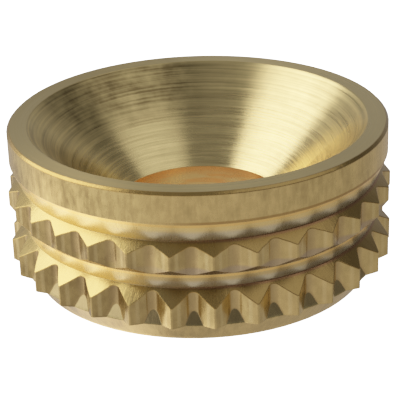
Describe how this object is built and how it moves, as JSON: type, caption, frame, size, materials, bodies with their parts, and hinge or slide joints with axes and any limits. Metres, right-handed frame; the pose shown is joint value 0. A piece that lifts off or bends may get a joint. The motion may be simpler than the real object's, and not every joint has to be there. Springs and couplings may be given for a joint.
{
  "type": "screw cup socket",
  "caption": "Turned brass cup that is pressed into a countersunk hole and seats the head of a countersunk screw; straight-knurled bands grip the hole.",
  "frame": {"origin": "centre of the flat nose face, on the cup's axis", "axes": "+Z along the axis, from the nose face to the open mouth"},
  "size_m": [0.0132, 0.0132, 0.0054],
  "materials": {
    "brass": "bare brass, satin as turned, with fine turning lines in the countersink"
  },
  "bodies": {
    "root": {"screw_cup": "brass"}
  },
  "joints": []
}
